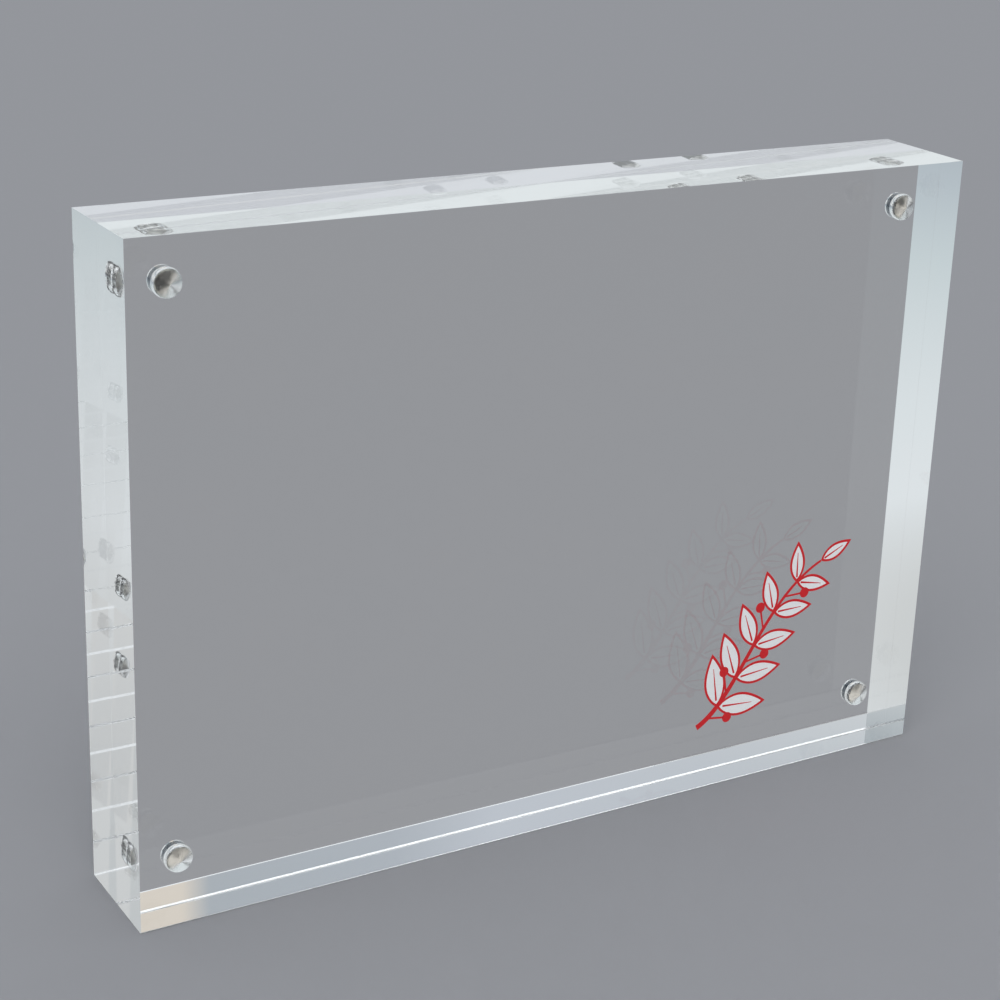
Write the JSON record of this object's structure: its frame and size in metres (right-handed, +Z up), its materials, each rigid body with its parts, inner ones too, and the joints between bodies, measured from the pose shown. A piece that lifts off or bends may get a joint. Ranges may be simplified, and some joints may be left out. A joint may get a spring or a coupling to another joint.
{
  "type": "acrylic block frame",
  "caption": "Clear acrylic block photo frame: polished slabs meet face to face and hold a print between them, kept together by corner magnets. It stands on its own edge.",
  "frame": {"origin": "middle of the base, halfway between the two blocks", "axes": "+X along the width to the viewer's right, +Y from the front to the back, +Z up"},
  "size_m": [0.18, 0.0242, 0.13],
  "materials": {
    "clear_acrylic": "clear, polished all over",
    "nickel": "bright nickel plate",
    "clear_glue": "clear cured glue"
  },
  "bodies": {
    "back": {"back_block": "clear_acrylic", "back_magnet_top_left": "nickel", "back_magnet_top_right": "nickel", "back_magnet_bottom_left": "nickel", "back_magnet_bottom_right": "nickel", "back_glue_top_left": "clear_glue", "back_glue_top_right": "clear_glue", "back_glue_bottom_left": "clear_glue", "back_glue_bottom_right": "clear_glue"},
    "front": {"front_block": "clear_acrylic", "front_magnet_top_left": "nickel", "front_magnet_top_right": "nickel", "front_magnet_bottom_left": "nickel", "front_magnet_bottom_right": "nickel", "front_glue_top_left": "clear_glue", "front_glue_top_right": "clear_glue", "front_glue_bottom_left": "clear_glue", "front_glue_bottom_right": "clear_glue"}
  },
  "joints": [
    {"name": "front_pull_off", "type": "slide", "parent": "back", "child": "front", "axis": [0, -1, 0], "range_m": [0, 0.06]}
  ]
}
